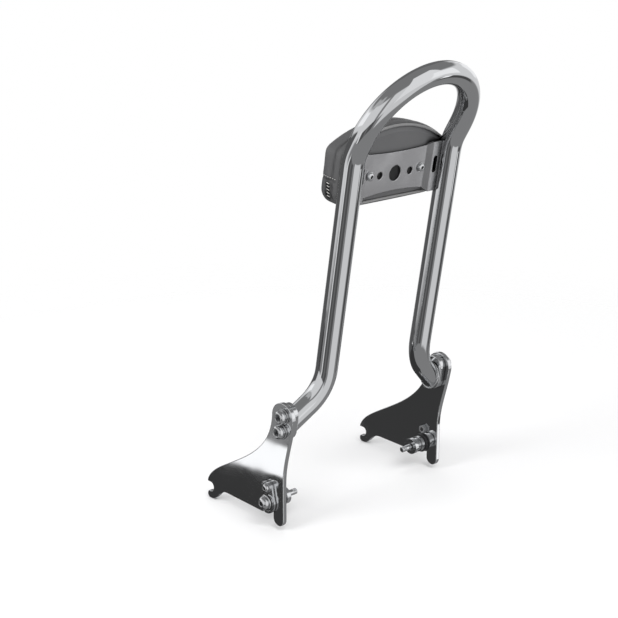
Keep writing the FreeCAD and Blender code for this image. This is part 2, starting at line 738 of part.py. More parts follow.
def pad_wire(y, inset, crown_radius=None):
    """The pad's front view, drawn in by an inset, at a value of Y before the lean."""
    share = max(0, (y - board_y) / (pad_end_y - board_y))
    half = pad_half_width - inset
    low = bracket_centre - pad_bottom + pad_bottom_rise * share + inset
    crown = bracket_centre + pad_top - pad_crown_fall * share - inset
    radius = crown_radius or between(pad_crown_radius, pad_front_crown_radius, share) - inset
    lower = between(pad_bottom_corner, pad_front_bottom_corner, share) - inset
    upper = between(pad_top_corner, pad_front_top_corner, share) - inset
    lower_cut = lower * (1 - math.sqrt(0.5))
    corner_rise = math.sqrt((radius - upper) ** 2 - (half - upper) ** 2)
    corner = Vector(half - upper, y, crown - radius + corner_rise)
    outward = (corner - Vector(0, y, crown - radius)).normalize()
    middle = (outward + x_axis).normalize()
    meet = corner + outward * upper
    turn = corner + middle * upper
    edges = [
        Part.makeLine(Vector(lower - half, y, low), Vector(half - lower, y, low)),
        Part.Arc(
            Vector(half - lower, y, low),
            Vector(half - lower_cut, y, low + lower_cut),
            Vector(half, y, low + lower),
        ).toShape(),
        Part.makeLine(Vector(half, y, low + lower), Vector(half, y, corner.z)),
        Part.Arc(Vector(half, y, corner.z), turn, meet).toShape(),
        Part.Arc(meet, Vector(0, y, crown), Vector(-meet.x, y, meet.z)).toShape(),
        Part.Arc(
            Vector(-meet.x, y, meet.z), Vector(-turn.x, y, turn.z), Vector(-half, y, corner.z)
        ).toShape(),
        Part.makeLine(Vector(-half, y, corner.z), Vector(-half, y, low + lower)),
        Part.Arc(
            Vector(-half, y, low + lower),
            Vector(lower_cut - half, y, low + lower_cut),
            Vector(lower - half, y, low),
        ).toShape(),
    ]
    return Part.Wire(edges)


def pad_block(start, end, inset, end_inset=None, crown_radius=None):
    """Block with the pad's front view between two values of Y, drawn in by an inset at each."""
    if end_inset is None:
        end_inset = inset
    wires = [pad_wire(start, inset, crown_radius), pad_wire(end, end_inset, crown_radius)]
    return Part.makeLoft(wires, True, True)


# Faces of the pad, forward from the bracket
panel_y = bracket_offset + bracket_thickness
board_y = panel_y + panel_thickness
board_end_y = board_y + board_thickness
tee_end_y = board_end_y + tee_flange_thickness
pad_end_y = panel_y + pad_depth


def pad_bolt_xs():
    """Where the two pad bolts stand."""
    return [pad_bolt_spacing / 2, -pad_bolt_spacing / 2]


def back_panel():
    """Moulded cover on the back of the pad, with holes for the bolts."""
    body = pad_block(
        panel_y, board_y, panel_inset + panel_bevel, panel_inset, panel_crown_radius
    )
    for x in pad_bolt_xs():
        radius = pad_bolt_diameter / 2 + hole_clearance
        body = body.cut(along_y(radius, panel_y - 1, board_y + 1, x, bolt_level))
    return leaned(body)


def pad_board():
    """Stiff board inside the pad, drilled for the tee nuts."""
    body = pad_block(board_y, board_end_y, board_inset)
    for x in pad_bolt_xs():
        body = body.cut(along_y(tee_barrel_radius, board_y - 1, board_end_y + 1, x, bolt_level))
    return leaned(body)


def tee_nuts():
    """Flanged nuts pressed into the front of the board."""
    nuts = []
    bore = pad_bolt_diameter / 2 + thread_clearance
    for x in pad_bolt_xs():
        barrel = along_y(tee_barrel_radius, board_y, board_end_y, x, bolt_level)
        flange = along_y(tee_flange_radius, board_end_y, tee_end_y, x, bolt_level)
        hole = along_y(bore, board_y - 1, tee_end_y + 1, x, bolt_level)
        nuts.append(leaned(barrel.fuse(flange).cut(hole)))
    return Part.makeCompound(nuts)


def pad_bolts():
    """Two domed bolts through the bracket into the tee nuts."""
    seat_y = bracket_offset - pad_washer_thickness
    length = board_end_y - seat_y
    bolt = button_bolt(
        pad_bolt_head_diameter, pad_bolt_head_height, pad_bolt_diameter, length, pad_bolt_socket
    )
    backward = Vector(0, -1, 0)
    placed = [leaned(turned_to(bolt, Vector(x, seat_y, bolt_level), backward)) for x in pad_bolt_xs()]
    return Part.makeCompound(placed)


def pad_washers():
    """Washers under the pad bolts' heads."""
    washers = []
    for x in pad_bolt_xs():
        start = bracket_offset - pad_washer_thickness
        outer = along_y(pad_washer_diameter / 2, start, bracket_offset, x, bolt_level)
        inner = pad_bolt_diameter / 2 + hole_clearance
        washers.append(leaned(outer.cut(along_y(inner, start - 1, bracket_offset + 1, x, bolt_level))))
    return Part.makeCompound(washers)


def pad_cushion():
    """Foam and cover: a crowned block with round edges, hollowed behind for the board."""
    block = pad_block(board_y, pad_end_y, 0)
    front = [edge for edge in block.Edges if edge.BoundBox.YMin > pad_end_y - 0.01]
    rounded = block.makeFillet(pad_front_round, front)
    back = [edge for edge in rounded.Edges if edge.BoundBox.YMax < board_y + 0.01]
    body = rounded.makeFillet(pad_back_round, back)
    body = body.cut(pad_block(board_y - 1, board_end_y + board_clearance, board_inset - board_clearance))
    for x in pad_bolt_xs():
        pocket = tee_flange_radius + board_clearance
        body = body.cut(along_y(pocket, board_y, tee_end_y + board_clearance, x, bolt_level))
    return leaned(body)


outer_bar = hoop_solid(tube_diameter / 2)
export("hoop_tube", outer_bar.cut(hoop_solid(tube_diameter / 2 - tube_wall)).removeSplitter())
export_pair("mount_ear", ear())
export_pair("side_plate", side_plate())
export_pair("ear_bolts", ear_bolts())
export_pair("ear_washers", ear_washers())
export_pair("dock_bushing", dock_bushing())
export_pair("dock_spacer", dock_spacer())
export_pair("dock_washer", dock_washer())
export_pair("dock_bolt", dock_bolt())
export_pair("latch_hook", latch_hook())
export_pair("latch_pivot", latch_pivot())
export_pair("latch_nut", latch_nut())
export_pair("latch_thrust_washer", thrust_washer())
export_pair("latch_disc_spring", disc_spring())
export("pad_bracket", pad_bracket(outer_bar))
export("pad_back_panel", back_panel())
export("pad_board", pad_board())
export("pad_tee_nuts", tee_nuts())
export("pad_bolts", pad_bolts())
export("pad_washers", pad_washers())
export("pad_cushion", pad_cushion())
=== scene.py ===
# Sissy bar: finishes, padded backrest, welds, stitching, light and camera.
# Lengths are in metres. X points right, Y forward and Z up.

import json
import math

import bmesh
import bpy
import numpy as np
from mathutils import Matrix, Vector
from mathutils.bvhtree import BVHTree


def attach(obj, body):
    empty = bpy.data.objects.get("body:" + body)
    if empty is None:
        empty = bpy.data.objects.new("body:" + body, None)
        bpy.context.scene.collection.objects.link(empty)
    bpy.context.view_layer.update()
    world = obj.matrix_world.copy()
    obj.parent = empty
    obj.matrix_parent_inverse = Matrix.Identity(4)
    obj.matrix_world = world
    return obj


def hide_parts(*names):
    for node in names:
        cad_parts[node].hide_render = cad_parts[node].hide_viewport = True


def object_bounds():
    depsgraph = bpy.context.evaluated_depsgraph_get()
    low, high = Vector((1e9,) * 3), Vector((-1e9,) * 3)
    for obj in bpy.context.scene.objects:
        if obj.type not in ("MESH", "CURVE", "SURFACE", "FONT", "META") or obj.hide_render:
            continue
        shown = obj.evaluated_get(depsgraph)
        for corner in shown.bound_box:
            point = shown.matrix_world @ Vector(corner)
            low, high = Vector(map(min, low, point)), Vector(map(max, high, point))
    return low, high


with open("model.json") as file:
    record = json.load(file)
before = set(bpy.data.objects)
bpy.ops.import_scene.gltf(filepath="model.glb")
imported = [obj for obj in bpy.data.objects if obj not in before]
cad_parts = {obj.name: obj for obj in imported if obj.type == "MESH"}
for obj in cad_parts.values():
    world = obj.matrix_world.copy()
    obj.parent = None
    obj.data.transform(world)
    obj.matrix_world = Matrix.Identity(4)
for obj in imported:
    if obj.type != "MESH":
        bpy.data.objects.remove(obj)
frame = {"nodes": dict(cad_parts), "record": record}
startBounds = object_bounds()
cadNodes = frame["nodes"]
print("frame loaded,", len(cadNodes), "pieces")

# the uprights lean back from the corner of the lower bends, and the pad and its bracket are drawn in their plane
leaning = {
    "lean": math.radians(9.2),
    "cornerY": -0.0375,
    "cornerZ": 0.1464,
}
hoop = {"tubeRadius": 0.0140, "uprightX": 0.086}

leanSine, leanCosine = math.sin(leaning["lean"]), math.cos(leaning["lean"])
forwardAxis = np.array([0.0, leanCosine, leanSine])
riseAxis = np.array([0.0, -leanSine, leanCosine])
sides = {"right": 1, "left": -1}  # the sign of X


def leanPoints(x, forward, rise):
    # world = (x, cornerY + forward cos(lean) - rise sin(lean), cornerZ + forward sin(lean) + rise cos(lean))
    x, forward, rise = np.broadcast_arrays(x, forward, rise)
    y = leaning["cornerY"] + forward * leanCosine - rise * leanSine
    z = leaning["cornerZ"] + forward * leanSine + rise * leanCosine
    return np.stack([x, y, z], axis=-1)


def unlean(points):
    # the way back: x, forward and rise of points in the world
    y, z = points[..., 1] - leaning["cornerY"], points[..., 2] - leaning["cornerZ"]
    return points[..., 0], y * leanCosine + z * leanSine, z * leanCosine - y * leanSine


def unit(vectors):
    # every vector over its own length
    return vectors / np.linalg.norm(vectors, axis=-1, keepdims=True)


def lengthAlong(path):
    # distance from the first point to each point, added up over the steps between them
    return np.append(0, np.cumsum(np.linalg.norm(np.diff(path, axis=0), axis=1)))


def linked(name, data):
    piece = bpy.data.objects.new(name, data)
    bpy.context.scene.collection.objects.link(piece)
    return piece


def meshObject(name, points, faces):
    mesh = bpy.data.meshes.new(name)
    mesh.from_pydata(points.tolist(), [], faces)
    mesh.validate()
    mesh.shade_smooth()
    piece = linked(name, mesh)
    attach(piece, "bar")
    return piece


def pointOutward(mesh, mergeWithin=0.0):
    # faces turned outwards, after points that share a place are merged
    work = bmesh.new()
    work.from_mesh(mesh)
    if mergeWithin:
        bmesh.ops.remove_doubles(work, verts=work.verts, dist=mergeWithin)
    bmesh.ops.recalc_face_normals(work, faces=work.faces)
    work.to_mesh(mesh)
    work.free()


def ringFaces(rings, around, closed=False):
    # quads between neighbouring rings of points; the last ring joins the first where the path is closed
    ring, place = np.meshgrid(np.arange(rings if closed else rings - 1), np.arange(around), indexing="ij")
    nextRing, nextPlace = (ring + 1) % rings, (place + 1) % around
    corners = [
        ring * around + place,
        ring * around + nextPlace,
        nextRing * around + nextPlace,
        nextRing * around + place,
    ]
    return np.stack(corners, axis=-1).reshape(-1, 4).tolist()


def acrossPath(path, closed, reference):
    # tangent by central differences, side = tangent x reference, up = side x tangent
    if closed:
        tangent = unit(np.roll(path, -1, 0) - np.roll(path, 1, 0))
    else:
        tangent = unit(np.gradient(path, axis=0))
    side = unit(np.cross(tangent, reference))
    return side, np.cross(side, tangent)


def cordMesh(name, path, radius, closed, reference, around):
    # point(i, a) = path(i) + radius(i) * (cos a * side(i) + sin a * up(i)), with a fan over each open end
    side, up = acrossPath(path, closed, reference)
    angle = np.linspace(0, 2 * np.pi, around, endpoint=False)
    radius = np.broadcast_to(radius, len(path))[:, None, None]
    ring = np.cos(angle)[None, :, None] * side[:, None] + np.sin(angle)[None, :, None] * up[:, None]
    points = (path[:, None] + radius * ring).reshape(-1, 3)
    faces = ringFaces(len(path), around, closed)
    if not closed:
        first, last = len(points), len(points) + 1
        points = np.vstack([points, path[:1], path[-1:]])
        here = np.arange(around)
        after = (here + 1) % around
        end = (len(path) - 1) * around
        faces += np.stack([np.full(around, first), after, here], 1).tolist()
        faces += np.stack([np.full(around, last), end + here, end + after], 1).tolist()
    piece = meshObject(name, points, faces)
    pointOutward(piece.data)
    return piece


# painted shade: hollows are darkened in the colour by Ambient Occlusion, from full at shut to none at clear
shading = {"hollowSamples": 8, "shut": 0.25, "clear": 0.85, "edgeSamples": 6}


# a material and its shader, with short ways to add nodes and join them
class Finish:
    def __init__(self, name):
        self.material = bpy.data.materials.new(name)
        self.material.use_nodes = True
        self.tree = self.material.node_tree
        self.shader = self.tree.nodes["Principled BSDF"]
        self.coords = self.node("ShaderNodeTexCoord").outputs["Object"]

    def node(self, kind, **values):
        node = self.tree.nodes.new(kind)
        for key, value in values.items():
            if hasattr(node, key):
                setattr(node, key, value)
            else:
                node.inputs[key].default_value = value
        return node

    def link(self, source, target):
        self.tree.links.new(source, target)

    def setShader(self, values):
        for key, value in values.items():
            self.shader.inputs[key].default_value = value

    def math(self, operation, first, second=None, third=None):
        node = self.node("ShaderNodeMath", operation=operation)
        for value, socket in zip((first, second, third), node.inputs):
            if isinstance(value, float):
                socket.default_value = value
            elif value is not None:
                self.link(value, socket)
        return node.outputs[0]

    def noise(self, scale, detail, stretch=None):
        noise = self.node("ShaderNodeTexNoise", Scale=scale, Detail=detail)
        source = self.coords
        if stretch:
            mapping = self.node("ShaderNodeMapping", Scale=stretch)
            self.link(source, mapping.inputs["Vector"])
            source = mapping.outputs["Vector"]
        self.link(source, noise.inputs["Vector"])
        return noise.outputs["Fac"]

    def between(self, factor, low, high, fromLow=0.3, fromHigh=0.7):
        reach = self.node("ShaderNodeMapRange")
        for key, value in (("From Min", fromLow), ("From Max", fromHigh), ("To Min", low), ("To Max", high)):
            reach.inputs[key].default_value = value
        self.link(factor, reach.inputs["Value"])
        return reach.outputs["Result"]

    def mixed(self, factor, first, second):
        mix = self.node("ShaderNodeMix", data_type="RGBA")
        self.link(factor, mix.inputs[0])
        for value, index in ((first, 6), (second, 7)):
            if isinstance(value, tuple):
                mix.inputs[index].default_value = (*value, 1)
            else:
                self.link(value, mix.inputs[index])
        return mix.outputs[2]

    def tint(self, factor, dark, light, creviceShade=None):
        # two tones by the factor, and painted shade: a darker gray in the colour where Ambient Occlusion finds a
        # hollow within reach, the pair given as (reach, gray)
        color = self.mixed(factor, dark, light)
        if creviceShade:
            reach, gray = creviceShade
            hollow = self.node("ShaderNodeAmbientOcclusion", Distance=reach, samples=shading["hollowSamples"])
            clear = self.between(hollow.outputs["AO"], 0.0, 1.0, shading["shut"], shading["clear"])
            color = self.mixed(clear, (gray, gray, gray), color)
        self.link(color, self.shader.inputs["Base Color"])

    def roundEdges(self, radius):
        # edges shaded as if rounded by this radius, so that they catch the light
        bevel = self.node("ShaderNodeBevel", Radius=radius, samples=shading["edgeSamples"])
        self.link(bevel.outputs["Normal"], self.shader.inputs["Normal"])

    def bump(self, height, strength, distance):
        # laid over whatever already turns the shader's normal
        bump = self.node("ShaderNodeBump", Strength=strength, Distance=distance)
        self.link(height, bump.inputs["Height"])
        normal = self.shader.inputs["Normal"]
        if normal.links:
            self.link(normal.links[0].from_socket, bump.inputs["Normal"])
        self.link(bump.outputs["Normal"], normal)


def plainFinish(look):
    # tone by one noise and roughness by another; a noise is (scale, detail) or (scale, detail, stretch)
    finish = Finish(look["name"])
    finish.setShader({"Metallic": look.get("metallic", 0.0)})
    finish.tint(finish.noise(*look["toneNoise"]), look["dark"], look["light"], look.get("creviceShade"))
    if "glossNoise" in look:
        gloss = finish.between(finish.noise(*look["glossNoise"]), *look["roughness"])
        finish.link(gloss, finish.shader.inputs["Roughness"])
    else:
        finish.setShader({"Roughness": look["roughness"]})
    if "edge" in look:
        finish.roundEdges(look["edge"])
    if "bumpNoise" in look:
        finish.bump(finish.noise(*look["bumpNoise"]), *look["bump"])
    return finish


# plated metal: even colour, faint smudges in the polish and a slow ripple; bump is (strength, distance), and the
# pair (reach, gray) is painted shade, a darker gray in the colour where parts meet
plating = {"metallic": 1.0, "toneNoise": (9.0, 4.0), "glossNoise": (26.0, 5.0)}
tubeChrome = {
    **plating,
    "name": "tube chrome",
    "dark": (0.752, 0.7614, 0.7708),
    "light": (0.80, 0.81, 0.82),
    "roughness": (0.02, 0.06),
    "creviceShade": (0.004, 0.10),
    "bumpNoise": (22.0, 2.0),
    "bump": (0.6, 0.00035),
}
plateChrome = {
    **tubeChrome,
    "name": "plate chrome",
    "roughness": (0.015, 0.04),
    "creviceShade": (0.004, 0.06),
    "edge": 0.0006,
    "bumpNoise": (14.0, 2.0),
    "bump": (0.6, 0.00008),
}
boltChrome = {
    **plating,
    "name": "bolt chrome",
    "dark": (0.7332, 0.7426, 0.752),
    "light": (0.78, 0.79, 0.80),
    "roughness": (0.03, 0.08),
    "creviceShade": (0.004, 0.03),
    "edge": 0.0004,
}
# its pair (reach, gray) is painted shade too, where the bracket meets the tubes
bracketChrome = {  # over a drawn sheet: fine lines along X under a soft gloss
    "name": "bracket chrome",
    "metallic": 1.0,
    "toneNoise": (14.0, 4.0),
    "dark": (0.50, 0.50, 0.51),
    "light": (0.60, 0.60, 0.61),
    "glossNoise": (30.0, 4.0),
    "roughness": (0.18, 0.28),
    "creviceShade": (0.004, 0.10),
    "edge": 0.0006,
    "bumpNoise": (900.0, 2.0, (0.05, 1.0, 1.0)),
    "bump": (0.25, 0.00005),
}
zincSteel = {
    "name": "zinc steel",
    "metallic": 1.0,
    "toneNoise": (120.0, 4.0),
    "dark": (0.46, 0.47, 0.49),
    "light": (0.60, 0.61, 0.62),
    "glossNoise": (60.0, 4.0),
    "roughness": (0.28, 0.42),
}
blackNylon = {
    "name": "black nylon",
    "toneNoise": (80.0, 3.0),
    "dark": (0.015, 0.015, 0.016),
    "light": (0.028, 0.028, 0.030),
    "glossNoise": (40.0, 3.0),
    "roughness": (0.35, 0.5),
    "bumpNoise": (700.0, 3.0),
    "bump": (0.2, 0.0001),
}
plywood = {
    "name": "plywood",
    "toneNoise": (40.0, 6.0, (0.15, 1.0, 1.0)),
    "dark": (0.24, 0.16, 0.09),
    "light": (0.36, 0.26, 0.15),
    "roughness": 0.7,
}
stitchingThread = {
    "name": "stitching thread",
    "toneNoise": (500.0, 2.0),
    "dark": (0.46, 0.45, 0.43),
    "light": (0.64, 0.63, 0.61),
    "roughness": 0.75,
}

# grained cover: tone and gloss vary slowly, and the grain is Voronoi cells with a finer noise over them; the pair
# (reach, gray) is painted shade, a darker colour near hollows and neighbouring parts
vinyl = {
    "toneNoise": (18.0, 4.0),
    "glossNoise": (35.0, 4.0),
    "specular": 0.6,
    # painted shade: the colour that seams and pleats are darkened towards
    "sunk": (0.006, 0.006, 0.006),  # tone deep in a seam
    "cellEdge": 0.12,
    "cellBump": (0.35, 0.00012),
    "fineScale": 1.8,  # times the grain
    "fineDetail": 3.0,
    "fineBump": (0.25, 0.0001),
}
panelVinyl = {
    **vinyl,
    "name": "panel vinyl",
    # dark and light: partly the vinyl's own dark grey, partly painted sheen that lifts it above black
    "dark": (0.105, 0.106, 0.108),
    "light": (0.150, 0.151, 0.154),
    "roughness": (0.32, 0.44),
    "grain": 900.0,
    "creviceShade": (0.028, 0.004),
}
padVinyl = {
    **vinyl,
    "name": "pad vinyl",
    # dark and light: partly the vinyl's own dark grey, partly painted sheen that lifts it above black
    "dark": (0.070, 0.070, 0.071),
    "light": (0.105, 0.105, 0.107),
    "roughness": (0.34, 0.48),
    "grain": 750.0,
    "creviceShade": (0.008, 0.006),
}
pipingVinyl = {
    **vinyl,
    "name": "piping vinyl",
    # dark and light: much lighter than the cover's vinyl, a painted highlight along the cord
    "dark": (0.22, 0.22, 0.22),
    "light": (0.30, 0.30, 0.30),
    "roughness": (0.26, 0.36),
    "grain": 1400.0,
    "creviceShade": (0.002, 0.02),
}


def vinylFinish(look):
    # the cover's own attribute "sunk" paints shade into seams and gathered channels, darkening their colour, and
    # makes them duller
    finish = plainFinish(look)
    base, rough = finish.shader.inputs["Base Color"], finish.shader.inputs["Roughness"]
    sunk = finish.node("ShaderNodeAttribute", attribute_name="sunk").outputs["Fac"]
    finish.link(finish.mixed(sunk, base.links[0].from_socket, look["sunk"]), base)
    finish.link(finish.math("MAXIMUM", rough.links[0].from_socket, sunk), rough)
    finish.setShader({"Specular IOR Level": look["specular"]})
    cells = finish.node("ShaderNodeTexVoronoi", Scale=look["grain"], feature="DISTANCE_TO_EDGE")
    finish.link(finish.coords, cells.inputs["Vector"])
    finish.bump(finish.between(cells.outputs["Distance"], 0.0, 1.0, 0.0, look["cellEdge"]), *look["cellBump"])
    finish.bump(finish.noise(look["grain"] * look["fineScale"], look["fineDetail"]), *look["fineBump"])
    return finish


finishes = {
    "chrome": plainFinish(tubeChrome),
    "plate_chrome": plainFinish(plateChrome),
    "bolt_chrome": plainFinish(boltChrome),
    "bracket_chrome": plainFinish(bracketChrome),
    "zinc_steel": plainFinish(zincSteel),
    "black_nylon": plainFinish(blackNylon),
    "board": plainFinish(plywood),
    "panel_vinyl": vinylFinish(panelVinyl),
    "pad_leather": vinylFinish(padVinyl),
    "piping_vinyl": vinylFinish(pipingVinyl),
    "thread": plainFinish(stitchingThread),
}

# the docking studs' screw thread, from its inner end to its outer end along X
screwThread = {"pitch": 0.00125, "from": 0.0930, "to": 0.1070, "depth": 0.00035}


def cutThreads(finish):
    # bands along X, a pitch apart, where |x| lies between the thread's two ends
    scale = 2 * math.pi / (20 * screwThread["pitch"])  # a wave's bands are 2 pi / (20 scale) apart
    bands = finish.node("ShaderNodeTexWave", bands_direction="X", Scale=scale)
    finish.link(finish.coords, bands.inputs["Vector"])
    split = finish.node("ShaderNodeSeparateXYZ")
    finish.link(finish.coords, split.inputs[0])
    start, end = screwThread["from"], screwThread["to"]
    middle, reach = (start + end) / 2, (end - start) / 2
    inside = finish.math("COMPARE", finish.math("ABSOLUTE", split.outputs["X"]), middle, reach)
    finish.bump(finish.math("MULTIPLY", bands.outputs["Fac"], inside), 1.0, screwThread["depth"])


# the bracket's strip over the panel: the rise of its row of holes and its half height
behindBracket = {"rise": 0.2700, "half": 0.0165, "tone": (0.002, 0.002, 0.002)}


def shadeBehindBracket(finish):
    # unlit where |rise - row of holes| is small; the rise is a point's share along riseAxis less the corner's
    along = finish.node("ShaderNodeVectorMath", operation="DOT_PRODUCT")
    along.inputs[1].default_value = tuple(riseAxis)
    finish.link(finish.coords, along.inputs[0])
    holes = behindBracket["rise"] - leaning["cornerY"] * leanSine + leaning["cornerZ"] * leanCosine
    covered = finish.math("COMPARE", along.outputs["Value"], holes, behindBracket["half"])
    base = finish.shader.inputs["Base Color"]
    finish.link(finish.mixed(covered, base.links[0].from_socket, behindBracket["tone"]), base)


cutThreads(finishes["bolt_chrome"])
shadeBehindBracket(finishes["panel_vinyl"])


def coat(piece, finishName):
    piece.data.materials.clear()
    piece.data.materials.append(finishes[finishName].material)


def dress(piece, finishName):
    coat(piece, finishName)


for part in frame["record"]["subparts"]:
    coat(cadNodes[part["node"]], part["material_slot"])
print("finishes on the bar")

# the pad in the uprights' plane: its bottom and crown by their rise, its back by how far forward it lies
pad = {
    "halfWidth": 0.0895,
    "bottom": 0.2313,
    "crown": 0.3321,
    "topCorner": 0.014,
    "bottomCorner": 0.0235,
    "back": 0.012,
    "depth": 0.038,
    "panelThickness": 0.003,
    "fill": 0.85,
}
panelFront = pad["back"] + pad["panelThickness"]

# the block that the cover is swollen from: its CAD solid remeshed, smoothed, and moved out again by giveBack
padStart = {"merge": 0.00002, "voxel": 0.0026, "smoothing": 0.5, "smoothRounds": 3, "giveBack": 0.0004}


def applied(piece):
    # the piece's modifiers become its mesh
    shape = bpy.data.meshes.new_from_object(piece.evaluated_get(bpy.context.evaluated_depsgraph_get()))
    piece.modifiers.clear()
    piece.data = shape


def padBlock():
    mesh = cadNodes["pad_cushion"].data.copy()
    pointOutward(mesh, padStart["merge"])
    block = linked("pad block", mesh)
    remesh = block.modifiers.new("even", "REMESH")
    remesh.mode = "VOXEL"
    remesh.voxel_size = padStart["voxel"]
    applied(block)
    smooth = block.modifiers.new("smooth", "SMOOTH")
    smooth.factor, smooth.iterations = padStart["smoothing"], padStart["smoothRounds"]
    displace = block.modifiers.new("larger", "DISPLACE")
    displace.strength, displace.mid_level = padStart["giveBack"], 0.0
    applied(block)
    return block


def readVectors(mesh, key):
    flat = np.empty(len(mesh.vertices) * 3, np.float32)
    mesh.vertices.foreach_get(key, flat)
    return flat.reshape(-1, 3).astype(float)


def setPoints(mesh, points):
    mesh.vertices.foreach_set("co", points.astype(np.float32).ravel())
    mesh.update()


swelling = {
    "pinned": 0.0035,  # ahead of the back panel, the cover is held
    "pressure": 4.0,
    "cap": 0.0035,  # no point moves further
    "frames": 20,
    "quality": 6,
    "mass": 0.35,
    "tension": 18,
    "shear": 8,
    "bending": 0.8,
}


def swellPad(block):
    # cloth with pressure and no gravity: moved(i) = move(i) * min(1, cap / |move(i)|)
    scene = bpy.context.scene
    before = readVectors(block.data, "co")
    forward = unlean(before)[1]
    group = block.vertex_groups.new(name="back")
    group.add(np.nonzero(forward < panelFront + swelling["pinned"])[0].tolist(), 1.0, "REPLACE")
    cloth = block.modifiers.new("cover", "CLOTH")
    settings = cloth.settings
    settings.quality = swelling["quality"]
    settings.mass = swelling["mass"]
    settings.tension_stiffness = settings.compression_stiffness = swelling["tension"]
    settings.shear_stiffness = swelling["shear"]
    settings.bending_stiffness = swelling["bending"]
    settings.use_pressure = True
    settings.uniform_pressure_force = swelling["pressure"]
    settings.vertex_group_mass = "back"
    settings.effector_weights.gravity = 0
    cloth.point_cache.frame_start, cloth.point_cache.frame_end = 1, swelling["frames"]
    for step in range(1, swelling["frames"] + 1):
        scene.frame_set(step)
    swollen = block.evaluated_get(bpy.context.evaluated_depsgraph_get())
    move = readVectors(swollen.data, "co") - before
    block.modifiers.clear()
    scene.frame_set(1)
    length = np.linalg.norm(move, axis=1)[:, None]
    move *= np.minimum(1.0, swelling["cap"] / np.maximum(length, 1e-9))
    setPoints(block.data, before + move)


# where the cover is pulled in, in the pad's own directions
seams = {
    "sideRise": 0.2665,  # seam round the sides and the front
    "bandForward": 0.0270,  # seam along the top band and down the sides
    "bandShare": 0.8,  # its depth as a share of the side seam's
    "bandTurn": 1.2,  # it fades where the cover faces forward
    "width": 0.0016,
    "depth": 0.0011,
    "fade": 0.004,
    # painted shade: how far the seam's colour is darkened
    "shade": 0.75,  # how dark it is, from 0 to 1
}
# the lower sides are gathered into upright pleats, each at (forward, width, share of the depth)
pleats = {
    "lines": ((0.0335, 0.0032, 1.7), (0.0262, 0.0013, 0.8), (0.0430, 0.0016, 0.3)),
    "depth": 0.0022,
    "underSeam": 0.002,
    "low": 0.238,
    "flank": 0.070,
    "fade": 0.006,
    # painted shade in the pleats and the tacked channel, with darkest as its limit
    "shade": 1.1,
    "channel": 0.0335,  # the widest pleat, which is tacked
    "channelWidth": 0.0038,
    "darkest": 0.97,
}


def ramp(value, start, length):
    return np.clip((value - start) / length, 0, 1)


def bell(value, middle, width, power=2):
    return np.exp(-(((value - middle) / width) ** power))


def pullSeams(block):
    # every point moves in along its normal by depth * exp(-(distance to the seam / width)^2)
    points, normals = readVectors(block.data, "co"), readVectors(block.data, "normal")
    x, forward, rise = unlean(points)
    ahead = ramp(forward, panelFront + seams["fade"], seams["fade"])
    side = bell(rise, seams["sideRise"], seams["width"]) * ahead
    turned = np.clip(seams["bandTurn"] - np.abs(normals @ forwardAxis), 0, 1)
    above = ramp(rise, seams["sideRise"], seams["fade"])
    band = bell(forward, seams["bandForward"], seams["width"]) * above * turned
    sewn = np.maximum(side, seams["bandShare"] * band)
    under = ramp(-rise, pleats["underSeam"] - seams["sideRise"], pleats["fade"])
    region = under * ramp(rise, pleats["low"], pleats["fade"]) * ramp(np.abs(x), pleats["flank"], pleats["fade"])
    gathered = region * sum(share * bell(forward, place, width) for place, width, share in pleats["lines"])
    depth = seams["depth"] * sewn + pleats["depth"] * gathered
    setPoints(block.data, points - normals * depth[:, None])
    # painted shade: seams, pleats and the tacked channel darken the cover's colour through the attribute sunk
    channel = bell(forward, pleats["channel"], pleats["channelWidth"], 4) * region
    shade = np.clip(seams["shade"] * sewn + pleats["shade"] * gathered + channel, 0, pleats["darkest"])
    sunk = block.data.attributes.new("sunk", "FLOAT", "POINT")
    sunk.data.foreach_set("value", shade.astype(np.float32))


print("swelling the pad")
cushion = padBlock()
swellPad(cushion)
pullSeams(cushion)
cushion.name = "pad_cover"
cushion.data.shade_smooth()
rounder = cushion.modifiers.new("rounder", "SUBSURF")
rounder.levels = rounder.render_levels = 1
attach(cushion, "bar")
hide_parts("pad_cushion")
dress(cushion, "pad_leather")
coverTree = BVHTree.FromObject(cushion, bpy.context.evaluated_depsgraph_get())
print("pad cover done,", len(cushion.data.vertices), "points")

casting = {"margin": 0.02, "reach": 0.05}  # how far outside the pad a ray starts, and how far it looks


def onCover(points, inward):
    # each point is cast along its inward direction and lands on the cover
    landed, normals = [], []
    for point, direction in zip(points, inward):
        hit, normal, _, _ = coverTree.ray_cast(Vector(point), Vector(direction), casting["reach"])
        landed.append(hit if hit else Vector(point))
        normals.append(normal if normal else -Vector(direction))
    return np.array(landed, float), np.array(normals, float)


piping = {
    "radius": 0.0017,
    "inset": 0.0046,
    "crownRadius": 0.158,
    "sunk": 0.0003,
    "count": 300,
    "around": 12,
    "cornerCount": 24,
    "crownCount": 80,
}


